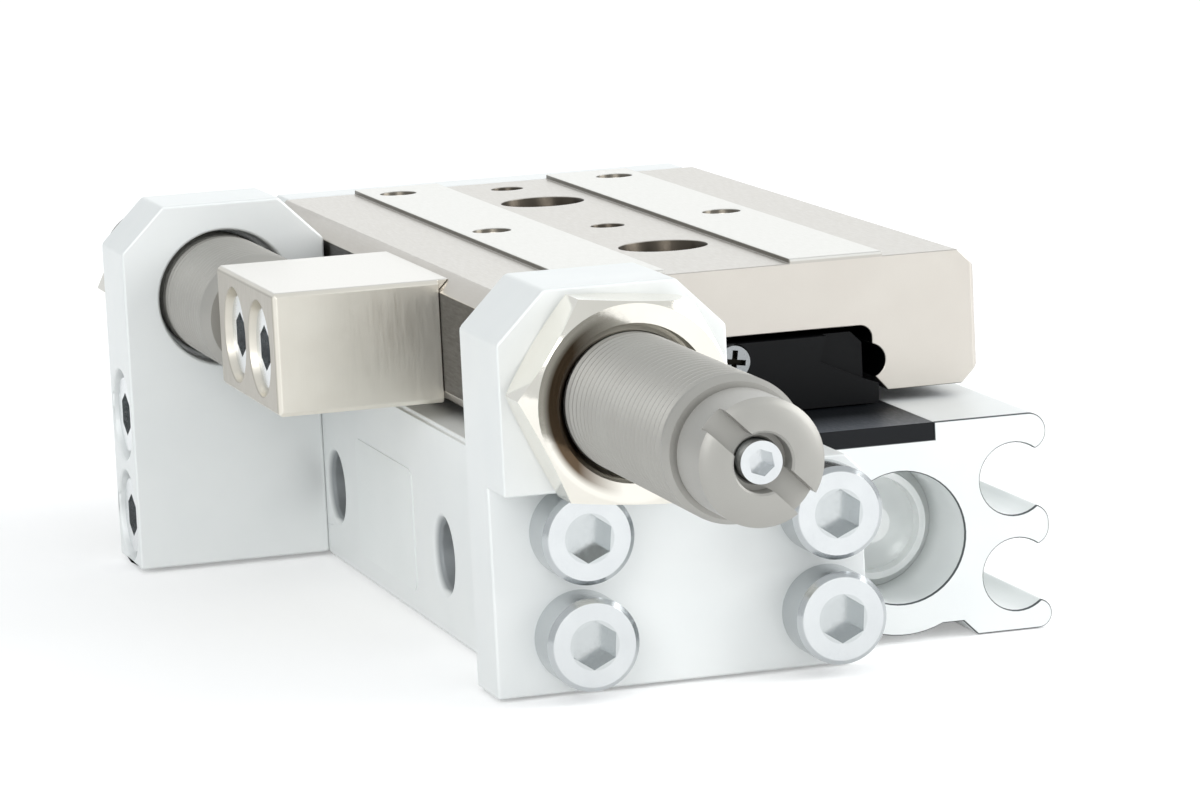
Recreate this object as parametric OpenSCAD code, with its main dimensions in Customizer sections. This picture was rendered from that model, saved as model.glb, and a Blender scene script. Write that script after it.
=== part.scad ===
// Compact twin-piston pneumatic slide table with adjustable shock absorbers.
// X is across the body, +Y is the way the table extends, Z is up.
// The origin is the centre of the body's underside. All sizes are in millimetres.

/* [Cylinder body] */
// Width of the body
body_w = 33.5; // [32:0.5:36]
// Length of the body
body_l = 54; // [53.8:0.1:54.2]
// Height of the body
body_h = 13.1; // [12.9:0.1:14]
// Depth of the relief under the body
relief_h = 0.9; // [0.4:0.1:1]
// Half width of the relief under the body
relief_half_w = 11.1; // [9:0.1:11.5]
// Width of the centre land that carries the tapped mounting holes
base_land_w = 6; // [5:0.5:7]
// Distance between the two tapped mounting holes under the body
base_mount_y = 24; // [20:0.5:24]
// Diameter of the two switch grooves
groove_d = 4.4; // [4.2:0.1:4.6]
// Mouth height of each switch groove
groove_mouth = 3.3; // [3:0.1:3.5]
// Distance of the groove centres from the side
groove_inset = 2.1; // [1.9:0.1:2.2]

/* [Pistons and rods] */
// Diameter of the two piston bores
bore_d = 8; // [7.6:0.1:8.2]
// Distance between the two bore centres
bore_spacing = 14.8; // [14.4:0.1:15]
// Height of the bore centres
bore_z = 6.3; // [6:0.1:6.5]
// Wall of metal under each bore
bore_wall = 1.9; // [1.5:0.1:2]
// Radial clearance of the pistons
piston_clearance = 0.05; // [0.03:0.01:0.1]
// Diameter of the piston rods
rod_d = 4; // [3.6:0.1:4.4]
// Radial clearance of the rods in their covers
rod_clearance = 0.04; // [0.02:0.01:0.1]
// Length of a piston
piston_l = 14; // [13:0.1:14]
// Depth of the head plugs behind the near face
plug_depth = 5.2; // [4:0.1:5.5]
// Length of the rod covers
rod_cover_l = 9.6; // [8:0.1:9.6]

/* [Ports] */
// Tap drill of the two air ports
port_d = 4.2; // [4:0.1:4.4]
// Height of the port centres
port_z = 5.1; // [5:0.1:6.5]
// Distance of the head port from the near face
head_port_y = 15.5; // [13:0.1:15.6]
// Distance of the rod port from the far face
rod_port_y = 10.6; // [10.4:0.1:10.8]

/* [Linear guide] */
// Diameter of the guide balls
ball_d = 2; // [1.9:0.05:2]
// Radial clearance between a ball and its groove
ball_clearance = 0.05; // [0.03:0.01:0.08]
// Sideways distance of the loaded balls from the centre
ball_x = 8.75; // [8.7:0.05:8.8]
// Height of the loaded balls
ball_z = 15.75; // [15.6:0.05:15.9]
// Sideways distance of the returning balls from the centre
return_x = 5.9; // [5.6:0.1:6]
// Number of balls in each row
balls_per_row = 16; // [8:1:16]
// Length of the guide block
guide_l = 39.6; // [38.6:0.1:39.6]
// Width of the base strip let into the body
strip_w = 19.4; // [18:0.1:20]
// Thickness of the base strip
strip_t = 1.05; // [0.8:0.05:1.2]

/* [Table] */
// Width of the table
table_w = 31.5; // [31:0.1:32]
// Length of the table
table_l = 53.8; // [53.8:0.1:56]
// Height of the table's shoulders
table_h = 22.1; // [22:0.1:23]
// Height of the two ground pads above the shoulders
pad_h = 0.3; // [0.1:0.05:0.5]
// Width of each ground pad
pad_w = 5.9; // [5:0.1:6]
// Distance between the two pads
pad_gap = 7.9; // [7.4:0.1:8.4]
// Distance of the table's near end behind the body's near face
table_setback = 8.6; // [8.4:0.1:9]
// Distance between the mounting holes across the table
mount_x = 15.5; // [14:0.1:15.5]
// Distance between the mounting holes along the table
mount_y = 24.4; // [20:0.1:24.6]
// Thickness of the end plate
end_plate_t = 5.5; // [4.5:0.1:6]

/* [Stops] */
// Travel of the table towards the near bracket
travel_in = 8; // [4:0.5:8]
// Travel of the table away from the near bracket
travel_out = 2; // [1:0.1:2]
// Thread diameter of the shock absorbers
absorber_d = 8; // [7.6:0.1:8]
// Length of an absorber from nose to slotted end
absorber_l = 35.7; // [35:0.1:38]
// Stroke of an absorber rod
absorber_stroke = 5; // [4:0.1:5]
// Height of the absorber axes
absorber_z = 17.9; // [17.6:0.1:18.2]
// Width of the upper part of each bracket
bracket_w = 13.6; // [13:0.1:14]
// Height of the brackets
bracket_h = 24.2; // [24:0.1:25]
// Corner cut of the brackets
bracket_cut = 2.9; // [2:0.1:3.2]
// Across-flats size of the absorber nuts
nut_af = 11.5; // [11:0.1:12]
// Thickness of the absorber nuts
nut_t = 4; // [3:0.1:4.5]
// Thread diameter of the cap screws
screw_d = 3; // [2.8:0.1:3]

/* [Hidden] */
$fn = 64;
eps = 0.01;             // overlap that keeps cuts clean
seat = 0.05;            // gap round parts that are fixed together
ease = 0.25;            // small edge break on the machined blocks
near = -body_l / 2;     // Y of the body's near face
far = body_l / 2;       // Y of the body's far face
side = body_w / 2;
bore_x = bore_spacing / 2;

base_mount_depth = 4.9;

// label, behind the head port
label_gap = 7.1;
label_l = 14.6;
label_z = 1.6;
label_h = 7.7;
label_r = 0.8;
label_t = 0.06;

// cap screws
head_d = 1.83 * screw_d;
head_h = screw_d;
thread_hole_d = screw_d + 2 * seat;
clear_hole_d = screw_d + 0.4;
tap_d = 0.83 * screw_d;
counterbore_d = head_d + 0.5;
head_sink = 0.2;        // a sunk head lies this much below its face

// switch grooves
groove_x = side - groove_inset;
groove_z = [3.4, 9.2];
fin_r = 1.1;

// pistons and rod covers
plug_t = 2.3;
plug_lip_d = 0.84 * bore_d;
piston_d = bore_d - 2 * piston_clearance;
passage_back = 1.2;      // the air passage lies this much nearer than its port
passage_d = 1.8;
port_depth = 4.5;
port_cone_l = 0.5;
port_lip = 0.9;          // the port's mouth is this much wider than its drill
bumper_d = 6.4;
bumper_t = 1;
stub_d = 3;
seal_t = 1.2;
seal_in_d = piston_d - 2.4;
seal_at = [3, piston_l - 3 - seal_t];
magnet_l = 4;
magnet_at = (piston_l - magnet_l) / 2;
ring_t = 0.7;
ring_in = 0.4;
rod_cover_y = far - ring_in - ring_t - rod_cover_l;
rod_cover_seal_at = 2;
rod_seal_l = 3;
rod_passage_gap = 0.2;   // between the rod cover and the air passage beside it
rod_tap_depth = 7;
// fully out, the bumper stops just short of the rod passage
piston_y = rod_cover_y - rod_passage_gap - passage_d - seat - travel_out - bumper_t - piston_l;

// guide
channel_floor = body_h - strip_t;
guide_setback = 2.6;     // from the table's near end
guide_y = near + table_setback + guide_setback;
guide_top = 17.55;
guide_half_w = ball_x - 0.25;
groove_r = ball_d / 2 + ball_clearance;
ball_pitch = ball_d + 0.1;
return_z = 15.3;
return_d = ball_d + 2 * ball_clearance + 0.1;
row_l = (balls_per_row - 1) * ball_pitch;
row_shift = (travel_in - travel_out) / 4;
// table travel, towards the near bracket, that lines its access holes up with the guide screws
access_line_up = 6;
cover_t = 2;
cover_pad_t = 0.9;
cover_foot_w = 9.2;      // half widths and heights of the cover's raised outline
cover_foot_z = 14.4;
cover_step_w = 8.1;
cover_step_z = 14.8;
cover_pad_w = 5.5;
cover_neck_z = 16;
cover_screw_d = 1.4;
cover_screw_head_d = 2;
cover_screw_out = 2.4;
cover_screw_grip = 1.2;
cover_screw_gap = 0.1;
cover_screw_z = 16.5;
guide_screw_near = 4.6;  // from the guide block's near end to its first screw
guide_screw_far = 7.4;   // from its second screw to its far end
guide_screw_y = [guide_y + guide_screw_near, guide_y + guide_l - guide_screw_far];
guide_screw_l = 6;
guide_tap_run = 0.4;
guide_screw_seat = guide_top - head_h - head_sink;

// table
table_y = near + table_setback;
table_half_w = table_w / 2;
table_floor = 13.86;
channel_top = 17.95;
channel_half_w = ball_x + 0.25;
table_cut = 1.05;
pad_x = pad_gap / 2;
pad_top = table_h + pad_h;
table_cut_h = pad_top - channel_top + 2;
mount_floor = 0.6;
access_d = 5.6;
dowel_d = 2.2;

plate_y = table_y + table_l;
mount_end = 4;           // from the far pair of mounting holes to the table's far end
mount_y0 = plate_y - mount_end - mount_y;
access_y = [for (y = guide_screw_y) y + access_line_up];
plate_h = 22;
plate_z = 1.2;
plate_half_w = 15.5;
plate_screw_x = 12.8;
plate_screw_l = 8;
plate_tap_depth = 7;
plate_ease = 1.2;
rod_screw_l = 7;

// stopper block on the table's left side
block_w = 10.4;
block_setback = 8.6;     // from the table's near end
block_y = table_y + block_setback;
block_l = 15.8;
block_z = [14.2, 21.8];
block_screw_in = 4.5;    // from each end of the block to its screw
block_screw_y = [block_y + block_screw_in, block_y + block_l - block_screw_in];
block_screw_l = 10;
block_tap_depth = 4.6;
block_recess = 3.4;

// brackets and absorbers
bracket_x = -side - 2.35;
near_plate_w = 22.6;
near_plate_t = 4.5;
near_boss_t = 8.2;
near_plate_h = 12.5;
bracket_z = 0.15;
near_axis_x = bracket_x + bracket_w / 2;
near_screw_x = [-14, 1];
near_screw_z = [3.4, 9.6];
near_screw_l = 10;
near_tap_depth = 7;
near_nose_y = table_y - travel_in - 0.1;
far_right = -table_half_w - 0.2;
far_axis_x = far_right - bracket_w / 2;
far_setback = 7.6;       // from the bracket's near face to the body's far face
far_y = far - far_setback;
far_t = 6.8;
far_screw_z = [3.4, 10.2];
far_screw_l = 13;
far_tap_depth = 4.4;
far_head_sink = 0.3;
far_nose_y = block_y + block_l + travel_out + 0.1;
absorber_fit = absorber_d + 2 * seat;
far_mouth_d = absorber_d + 0.9;
far_mouth_t = 2.5;
absorber_step_d = 0.86 * absorber_d;
absorber_step_l = 4.2;
absorber_neck_l = 0.4;
absorber_slot_w = 1.45;
absorber_slot_h = 1.3;
absorber_cavity_d = 5.4;
absorber_cavity_l = 20;
gland_l = 4;
absorber_rod_d = 2.8;
rod_head_d = 4.8;
rod_head_l = 3;
plug_screw_d = 2.3;
plug_recess_d = 3.2;
head_gap = 0.5;         // between the damping head and the gland with the rod fully out
spring_wire_r = 0.25;
spring_coil_r = 1.9;
spring_turns = 8;
spring_end_gap = 0.3;   // between the spring and the chamber's floor with the rod fully in
// share of the absorber stroke used per millimetre of table travel
absorber_ratio = absorber_stroke / (travel_in + travel_out);
near_rod_out = travel_in * absorber_ratio;
far_rod_out = travel_out * absorber_ratio;

// ---- construction helpers ----

// Rectangle from low corner a to high corner b with its corners cut by c.
module cut_rect(a, b, c) {
    polygon([
        [a.x + c, a.y], [b.x - c, a.y], [b.x, a.y + c], [b.x, b.y - c],
        [b.x - c, b.y], [a.x + c, b.y], [a.x, b.y - c], [a.x, a.y + c]
    ]);
}

// Extrudes an outline drawn in X and Z along Y.
module along_y(y0, y1) {
    translate([0, y1, 0]) rotate([90, 0, 0]) linear_extrude(y1 - y0) children();
}

// Extrudes an outline drawn in Y and Z along X.
module along_x(x0, x1) {
    translate([x0, 0, 0]) rotate([90, 0, 90]) linear_extrude(x1 - x0) children();
}

// Box between two corners with every edge broken by c.
module eased_box(a, b, c = ease) {
    intersection() {
        translate([0, 0, a.z]) linear_extrude(b.z - a.z) cut_rect([a.x, a.y], [b.x, b.y], c);
        along_y(a.y, b.y) cut_rect([a.x, a.z], [b.x, b.z], c);
        along_x(a.x, b.x) cut_rect([a.y, a.z], [b.y, b.z], c);
    }
}

module rod_y(x, z, y0, y1, d) {
    translate([x, y1, z]) rotate([90, 0, 0]) cylinder(d = d, h = y1 - y0);
}

module rod_x(y, z, x0, x1, d) {
    translate([x0, y, z]) rotate([0, 90, 0]) cylinder(d = d, h = x1 - x0);
}

module tube_y(x, z, y0, y1, outer, inner) {
    difference() {
        rod_y(x, z, y0, y1, outer);
        rod_y(x, z, y0 - 1, y1 + 1, inner);
    }
}

// Draws its children once at each bore.
module at_bores() {
    for (s = [-1, 1]) translate([s * bore_x, 0, 0]) children();
}

// Socket head cap screw: the head stands on z = 0 and the shank runs down.
module cap_screw(d, l) {
    head = 1.83 * d;
    edge = 0.1 * d;
    difference() {
        rotate_extrude() polygon([
            [0, -l], [d / 2 - edge, -l], [d / 2, -l + edge], [d / 2, 0], [head / 2, 0],
            [head / 2, d - edge], [head / 2 - edge, d], [0, d]
        ]);
        translate([0, 0, 0.45 * d]) cylinder(d = 0.96 * d, h = d, $fn = 6);
    }
}

// Hexagon nut with both faces turned to a shallow cone, standing on z = 0.
module hex_nut(af, t, hole) {
    across = af / cos(30);
    drop = (across - af) / 2 * tan(30) + 0.2;
    difference() {
        intersection() {
            cylinder(d = across, h = t, $fn = 6);
            rotate_extrude() polygon([
                [0, 0], [af / 2 - 0.1, 0], [across / 2, drop],
                [across / 2, t - drop], [af / 2 - 0.1, t], [0, t]
            ]);
        }
        translate([0, 0, -1]) cylinder(d = hole, h = t + 2);
        translate([0, 0, -eps]) cylinder(d1 = hole + 1, d2 = hole, h = 0.5);
        translate([0, 0, t - 0.5]) cylinder(d1 = hole, d2 = hole + 1, h = 0.5 + eps);
    }
}

// Points round one section of a helical wire at turn u.
function coil_ring(u, turns, length, coil_r, wire_r, n) = [
    for (k = [0:n - 1])
        let (a = 360 * u * turns, b = 360 * k / n, r = coil_r + wire_r * cos(b))
        [r * cos(a), r * sin(a), length * u + wire_r * sin(b)]
];

// Compression spring: a round wire swept along a helix as one closed tube.
module coil_spring(length, turns, coil_r, wire_r, n = 8, per_turn = 18) {
    m = turns * per_turn;
    rings = [for (i = [0:m]) each coil_ring(i / m, turns, length, coil_r, wire_r, n)];
    skin = [
        for (i = [0:m - 1], k = [0:n - 1])
            let (a = i * n + k, b = i * n + (k + 1) % n)
            each [[a, b, b + n], [a, b + n, a + n]]
    ];
    start = [for (k = [1:n - 2]) [0, k + 1, k]];
    finish = [for (k = [1:n - 2]) [m * n, m * n + k, m * n + k + 1]];
    polyhedron(rings, concat(skin, start, finish));
}

// ---- cylinder body ----

// Rounded end of a side fin between heights z0 and z1.
module fin_end(z0, z1) {
    r = min(fin_r, (z1 - z0) / 2);
    for (z = [z0 + r, z1 - r]) translate([side - r, z]) circle(r);
    translate([side - fin_r - 1, z0]) square([fin_r + 1 - r, z1 - z0]);
    translate([side - r - eps, z0 + r]) square([r + eps, max(z1 - z0 - 2 * r, eps)]);
}

module body_outline() {
    root = side - fin_r;
    low = groove_z[0];
    high = groove_z[1];
    m = groove_mouth / 2;
    difference() {
        union() {
            translate([-side + ease, 0]) square([root + side - ease, body_h]);
            translate([-side, ease]) square([ease + eps, body_h - 2 * ease]);
            fin_end(0, low - m);
            fin_end(low + m, high - m);
            fin_end(high + m, body_h);
        }
        for (z = groove_z) {
            translate([groove_x, z]) circle(d = groove_d);
            translate([groove_x, z - m]) square([groove_inset + 1, groove_mouth]);
        }
        difference() {
            polygon([
                [-relief_half_w - relief_h, -eps], [relief_half_w + relief_h, -eps],
                [relief_half_w, relief_h], [-relief_half_w, relief_h]
            ]);
            for (s = [-1, 1]) translate([s * bore_x, bore_z]) circle(bore_d / 2 + bore_wall);
            translate([-base_land_w / 2, -1]) square([base_land_w, relief_h + 2]);
        }
        translate([-strip_w / 2, channel_floor]) square([strip_w, strip_t + 1]);
    }
}

module body() {
    color("#E4E7E8") difference() {
        along_y(near, far) body_outline();
        at_bores() rod_y(0, bore_z, near - 1, far + 1, bore_d);
        at_bores() rod_y(0, bore_z, far - ring_in - ring_t, far - ring_in, bore_d + 0.9);
        for (y = [near + head_port_y, far - rod_port_y]) {
            rod_x(y, port_z, -side - 1, -side + port_depth, port_d);
            translate([-side, y, port_z]) rotate([0, 90, 0])
                cylinder(d1 = port_d + port_lip, d2 = port_d - 0.1, h = port_cone_l);
            rod_x(y - passage_back, bore_z, -side + port_depth - port_cone_l, bore_x, passage_d);
        }
        for (x = near_screw_x, z = near_screw_z) rod_y(x, z, near - 1, near + near_tap_depth, thread_hole_d);
        for (z = far_screw_z) rod_x(far_y + far_t / 2, z, -side - 1, -side + far_tap_depth, thread_hole_d);
        for (y = guide_screw_y) translate([0, y, guide_screw_seat - guide_screw_l - guide_tap_run])
            cylinder(d = thread_hole_d, h = guide_screw_l);
        for (s = [-1, 1]) translate([0, s * base_mount_y / 2, -1])
            cylinder(d = tap_d, h = base_mount_depth + 1);
    }
}

module head_plugs() {
    y = near + plug_depth;
    color("#D9DBD8") at_bores() translate([0, y, bore_z]) rotate([-90, 0, 0]) rotate_extrude()
        polygon([
            [0, 0.35], [1.2, 0.4], [2.2, 0.7], [plug_lip_d / 2 - 0.45, 0.9], [plug_lip_d / 2 - 0.4, 0],
            [plug_lip_d / 2, 0], [plug_lip_d / 2 + 0.1, 0.6], [bore_d / 2 - seat / 2, 1],
            [bore_d / 2 - seat / 2, plug_t], [0, plug_t]
        ]);
}

// Thin sheet with no printing on it, on the left side between the ports.
module label() {
    y0 = near + head_port_y + label_gap;
    y1 = y0 + label_l;
    z1 = label_z + label_h;
    r = label_r;
    color("#EDEFF0") along_x(-side - label_t, -side) {
        translate([y0, label_z + r]) square([label_l, label_h - 2 * r]);
        translate([y0 + r, label_z]) square([label_l - 2 * r, label_h]);
        for (y = [y0 + r, y1 - r], z = [label_z + r, z1 - r]) translate([y, z]) circle(r);
    }
}

// ---- pistons and rods ----

module piston_rods() {
    color("#C9CCCE") at_bores() difference() {
        union() {
            rod_y(0, bore_z, piston_y + piston_l, plate_y, rod_d);
            rod_y(0, bore_z, piston_y + 0.5, piston_y + piston_l + eps, stub_d);
        }
        rod_y(0, bore_z, plate_y - rod_tap_depth, plate_y + 1, tap_d);
    }
}

module pistons() {
    color("#C8B070") at_bores() difference() {
        rod_y(0, bore_z, piston_y, piston_y + piston_l, piston_d);
        rod_y(0, bore_z, piston_y - 1, piston_y + piston_l + 1, stub_d + 2 * seat);
        for (y = seal_at)
            tube_y(0, bore_z, piston_y + y, piston_y + y + seal_t, bore_d + 1, seal_in_d);
        tube_y(0, bore_z, piston_y + magnet_at, piston_y + magnet_at + magnet_l, bore_d + 1, seal_in_d);
    }
}

module piston_seals() {
    color("#222222") at_bores() for (y = seal_at)
        tube_y(0, bore_z, piston_y + y + seat, piston_y + y + seal_t - seat,
               bore_d - 0.04, seal_in_d + 0.1);
}

module piston_magnets() {
    color("#3A3A3C") at_bores()
        tube_y(0, bore_z, piston_y + magnet_at + seat, piston_y + magnet_at + magnet_l - seat,
               piston_d - 0.3, seal_in_d + 0.1);
}

// Rubber pads on both faces of each piston.
module piston_bumpers() {
    color("#26261F") at_bores() {
        tube_y(0, bore_z, piston_y - bumper_t, piston_y, bumper_d, stub_d + 2 * seat);
        tube_y(0, bore_z, piston_y + piston_l, piston_y + piston_l + bumper_t,
               bumper_d, rod_d + 2 * seat);
    }
}

module rod_covers() {
    y1 = rod_cover_y + rod_cover_l;
    color("#B9BDC0") at_bores() difference() {
        rod_y(0, bore_z, rod_cover_y, y1, bore_d - seat);
        rod_y(0, bore_z, rod_cover_y - 1, y1 + 1, rod_d + 2 * rod_clearance);
        rod_y(0, bore_z, y1 - rod_seal_l, y1 + 1, rod_d + 2);
        translate([0, rod_cover_y + rod_cover_seal_at, 0])
            tube_y(0, bore_z, 0, seal_t, bore_d + 1, bore_d - 1.6);
    }
}

module rod_cover_seals() {
    color("#1E1E1E") at_bores()
        translate([0, rod_cover_y + rod_cover_seal_at, 0])
            tube_y(0, bore_z, seat, seal_t - seat, bore_d - 0.02, bore_d - 1.5);
}

module rod_seals() {
    y1 = rod_cover_y + rod_cover_l;
    color("#1E1E1E") at_bores()
        tube_y(0, bore_z, y1 - rod_seal_l + seat, y1 - 0.4, rod_d + 1.9, rod_d + 2 * rod_clearance);
}

// Open retaining rings that hold the rod covers.
module rod_cover_rings() {
    y1 = far - ring_in;
    color("#4A4A4A") at_bores() difference() {
        tube_y(0, bore_z, y1 - ring_t + seat, y1 - seat, bore_d + 0.8, bore_d - 1.4);
        translate([-0.9, y1 - 2, bore_z - bore_d]) cube([1.8, 4, bore_d]);
    }
}

// ---- linear guide ----

module guide_base() {
    w = strip_w / 2 - seat;
    color("#1B1F26") difference() {
        along_y(near, far) translate([-w, channel_floor]) square([2 * w, strip_t]);
        for (y = guide_screw_y) translate([0, y, channel_floor - 1])
            cylinder(d = clear_hole_d, h = strip_t + 2);
    }
}

module guide_outline() {
    c = 0.7;
    polygon([
        [-guide_half_w - 0.9, body_h], [guide_half_w + 0.9, body_h],
        [guide_half_w, body_h + 1], [guide_half_w, guide_top - c], [guide_half_w - c, guide_top],
        [c - guide_half_w, guide_top], [-guide_half_w, guide_top - c], [-guide_half_w, body_h + 1]
    ]);
}

module guide_block() {
    color("#20242B") difference() {
        along_y(guide_y, guide_y + guide_l) guide_outline();
        for (s = [-1, 1]) {
            rod_y(s * ball_x, ball_z, guide_y - 1, guide_y + guide_l + 1, 2 * groove_r);
            rod_y(s * return_x, return_z, guide_y - 1, guide_y + guide_l + 1, return_d);
        }
        for (y = guide_screw_y) {
            translate([0, y, body_h - 1]) cylinder(d = clear_hole_d, h = 6);
            translate([0, y, guide_screw_seat]) cylinder(d = counterbore_d, h = 5);
        }
        for (y = [guide_y, guide_y + guide_l])
            rod_y(0, cover_screw_z, y - cover_screw_grip - 0.2, y + cover_screw_grip + 0.2,
                  cover_screw_d + cover_screw_gap);
    }
}

// Ball return cap, drawn for the near end with its inner face on y = 0.
module guide_cover() {
    z0 = body_h + 0.1;
    y0 = -cover_t - cover_pad_t - 1;
    difference() {
        union() {
            along_y(-cover_t, 0) intersection() {
                guide_outline();
                translate([-side, z0]) square([body_w, 6]);
            }
            along_y(-cover_t - cover_pad_t, -cover_t + eps) for (s = [0, 1]) mirror([s, 0]) polygon([
                [-eps, z0], [cover_foot_w, z0], [cover_foot_w, cover_foot_z],
                [cover_step_w, cover_step_z], [cover_pad_w, cover_neck_z],
                [cover_pad_w + 0.5, guide_top], [-eps, guide_top]
            ]);
        }
        for (s = [0, 1]) mirror([s, 0, 0]) {
            rod_y(ball_x, ball_z, -groove_r, 1, 2 * groove_r);
            rod_y(return_x, return_z, -groove_r, 1, 2 * groove_r);
            along_y(-groove_r, 1) polygon([
                [return_x, return_z - groove_r], [ball_x, ball_z - groove_r],
                [ball_x, ball_z + groove_r], [return_x, return_z + groove_r]
            ]);
        }
        rod_y(0, cover_screw_z, y0, 1, cover_screw_d + cover_screw_gap);
        rod_y(0, cover_screw_z, y0, -cover_screw_out, cover_screw_head_d + 0.2);
    }
}

module near_guide_cover() {
    color("#15171B") translate([0, guide_y, 0]) guide_cover();
}

module far_guide_cover() {
    color("#15171B") translate([0, guide_y + guide_l, 0]) mirror([0, 1, 0]) guide_cover();
}

// Cross-recess screw that holds a cover: the head stands on z = 0.
module cross_screw() {
    difference() {
        union() {
            cylinder(d = cover_screw_head_d, h = 0.75);
            translate([0, 0, -cover_screw_out - cover_screw_grip])
                cylinder(d = cover_screw_d, h = cover_screw_out + cover_screw_grip + eps);
        }
        for (a = [0, 90]) rotate(a) translate([-0.72, -0.17, 0.27]) cube([1.44, 0.34, 1]);
    }
}

module guide_cover_screws() {
    color("#C8CBCD") {
        translate([0, guide_y - cover_screw_out, cover_screw_z]) rotate([90, 8, 0]) cross_screw();
        translate([0, guide_y + guide_l + cover_screw_out, cover_screw_z])
            rotate([-90, 20, 0]) cross_screw();
    }
}

module guide_screws() {
    color("#9A9DA0") for (y = guide_screw_y)
        translate([0, y, guide_screw_seat]) cap_screw(screw_d, guide_screw_l);
}

// Two rows of balls, one on each side.
module ball_rows(x, z, y0) {
    color("#D5D8DB") for (s = [-1, 1], i = [0:balls_per_row - 1])
        translate([s * x, y0 + i * ball_pitch, z]) sphere(d = ball_d, $fn = 24);
}

module load_balls() {
    ball_rows(ball_x, ball_z, guide_y + (guide_l - row_l) / 2 + row_shift);
}

module return_balls() {
    ball_rows(return_x, return_z, guide_y + (guide_l - row_l) / 2 - row_shift);
}

// ---- table ----

module table_outline() {
    c = table_cut;
    r = 0.8;
    difference() {
        union() {
            cut_rect([-table_half_w, table_floor], [table_half_w, table_h], c);
            for (s = [-1, 1]) translate([s * (pad_x + pad_w / 2) - pad_w / 2, table_h - eps])
                square([pad_w, pad_h + eps]);
        }
        translate([-channel_half_w, table_floor - 1]) square([2 * channel_half_w, 2.5]);
        translate([-channel_half_w, table_floor])
            square([2 * channel_half_w, channel_top - table_floor - r]);
        translate([r - channel_half_w, table_floor])
            square([2 * (channel_half_w - r), channel_top - table_floor]);
        for (s = [-1, 1]) {
            translate([s * (channel_half_w - r), channel_top - r]) circle(r);
            translate([s * ball_x, ball_z]) circle(groove_r);
        }
        for (s = [0, 1]) mirror([s, 0]) polygon([
            [channel_half_w - 1, table_floor - 1], [channel_half_w + 1, table_floor - 1],
            [channel_half_w + 0.9, table_floor], [channel_half_w + 0.1, table_floor + 0.9],
            [channel_half_w - 1, table_floor + 0.9]
        ]);
    }
}

module table() {
    y1 = table_y + table_l;
    color("#CFC9C2") difference() {
        intersection() {
            along_y(table_y, y1) table_outline();
            translate([0, 0, table_floor - 1]) linear_extrude(pad_top - table_floor + 2)
                cut_rect([-table_half_w, table_y], [table_half_w, y1], ease);
        }
        for (s = [-1, 1], j = [0, 1])
            translate([s * mount_x / 2, mount_y0 + j * mount_y, channel_top + mount_floor])
                cylinder(d = tap_d, h = table_cut_h);
        for (y = access_y) translate([0, y, channel_top - 1]) cylinder(d = access_d, h = table_cut_h);
        for (y = [mount_y0, mount_y0 + mount_y]) translate([0, y, channel_top - 1])
            cylinder(d = dowel_d, h = table_cut_h);
        for (y = block_screw_y)
            rod_x(y, absorber_z, -table_half_w - 1, -table_half_w + block_tap_depth, thread_hole_d);
        for (s = [-1, 1]) rod_y(s * plate_screw_x, absorber_z, y1 - plate_tap_depth, y1 + 1,
                                     thread_hole_d);
    }
}

module stopper_block() {
    x0 = -table_half_w - block_w;
    x1 = -table_half_w;
    z1 = block_z[1];
    lip = z1 - (table_h - table_cut) - seat;
    color("#D6D0C8") difference() {
        union() {
            intersection() {
                eased_box([x0, block_y, block_z[0]], [x1 + 1, block_y + block_l, z1]);
                translate([x0, block_y, block_z[0]]) cube([block_w, block_l, z1]);
            }
            along_y(block_y + ease, block_y + block_l - ease)
                polygon([[x1 - eps, z1 - lip], [x1 + lip, z1], [x1 - eps, z1]]);
        }
        for (y = block_screw_y) {
            rod_x(y, absorber_z, x0 - 1, x1 + 1, clear_hole_d);
            rod_x(y, absorber_z, x0 - 1, x0 + block_recess, counterbore_d);
        }
    }
}

module stopper_screws() {
    x = -table_half_w - block_w + block_recess;
    color("#D9DCDE") for (y = block_screw_y)
        translate([x, y, absorber_z]) rotate([0, -90, 0]) cap_screw(screw_d, block_screw_l);
}

module end_plate() {
    screw_seat = plate_y + end_plate_t - head_h - head_sink;
    y1 = plate_y + end_plate_t + 1;
    color("#E4E7E8") difference() {
        eased_box([-plate_half_w, plate_y, plate_z], [plate_half_w, plate_y + end_plate_t, plate_h],
                  plate_ease);
        for (s = [-1, 1]) {
            rod_y(s * bore_x, bore_z, plate_y - 1, y1, clear_hole_d);
            rod_y(s * plate_screw_x, absorber_z, plate_y - 1, y1, clear_hole_d);
            rod_y(s * bore_x, bore_z, screw_seat, y1, counterbore_d);
            rod_y(s * plate_screw_x, absorber_z, screw_seat, y1, counterbore_d);
        }
    }
}

module end_plate_screws() {
    y = plate_y + end_plate_t - head_h - head_sink;
    color("#D9DCDE") for (s = [-1, 1]) {
        translate([s * bore_x, y, bore_z]) rotate([-90, 0, 0]) cap_screw(0.8 * screw_d, rod_screw_l);
        translate([s * plate_screw_x, y, absorber_z]) rotate([-90, 0, 0]) cap_screw(screw_d, plate_screw_l);
    }
}

// ---- brackets ----

// Upper outline shared by the brackets: square below, with both top corners cut.
module bracket_top(x0, z0) {
    c = bracket_cut;
    polygon([
        [x0, z0], [x0 + bracket_w, z0], [x0 + bracket_w, bracket_h - c],
        [x0 + bracket_w - c, bracket_h], [x0 + c, bracket_h], [x0, bracket_h - c]
    ]);
}

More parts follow.
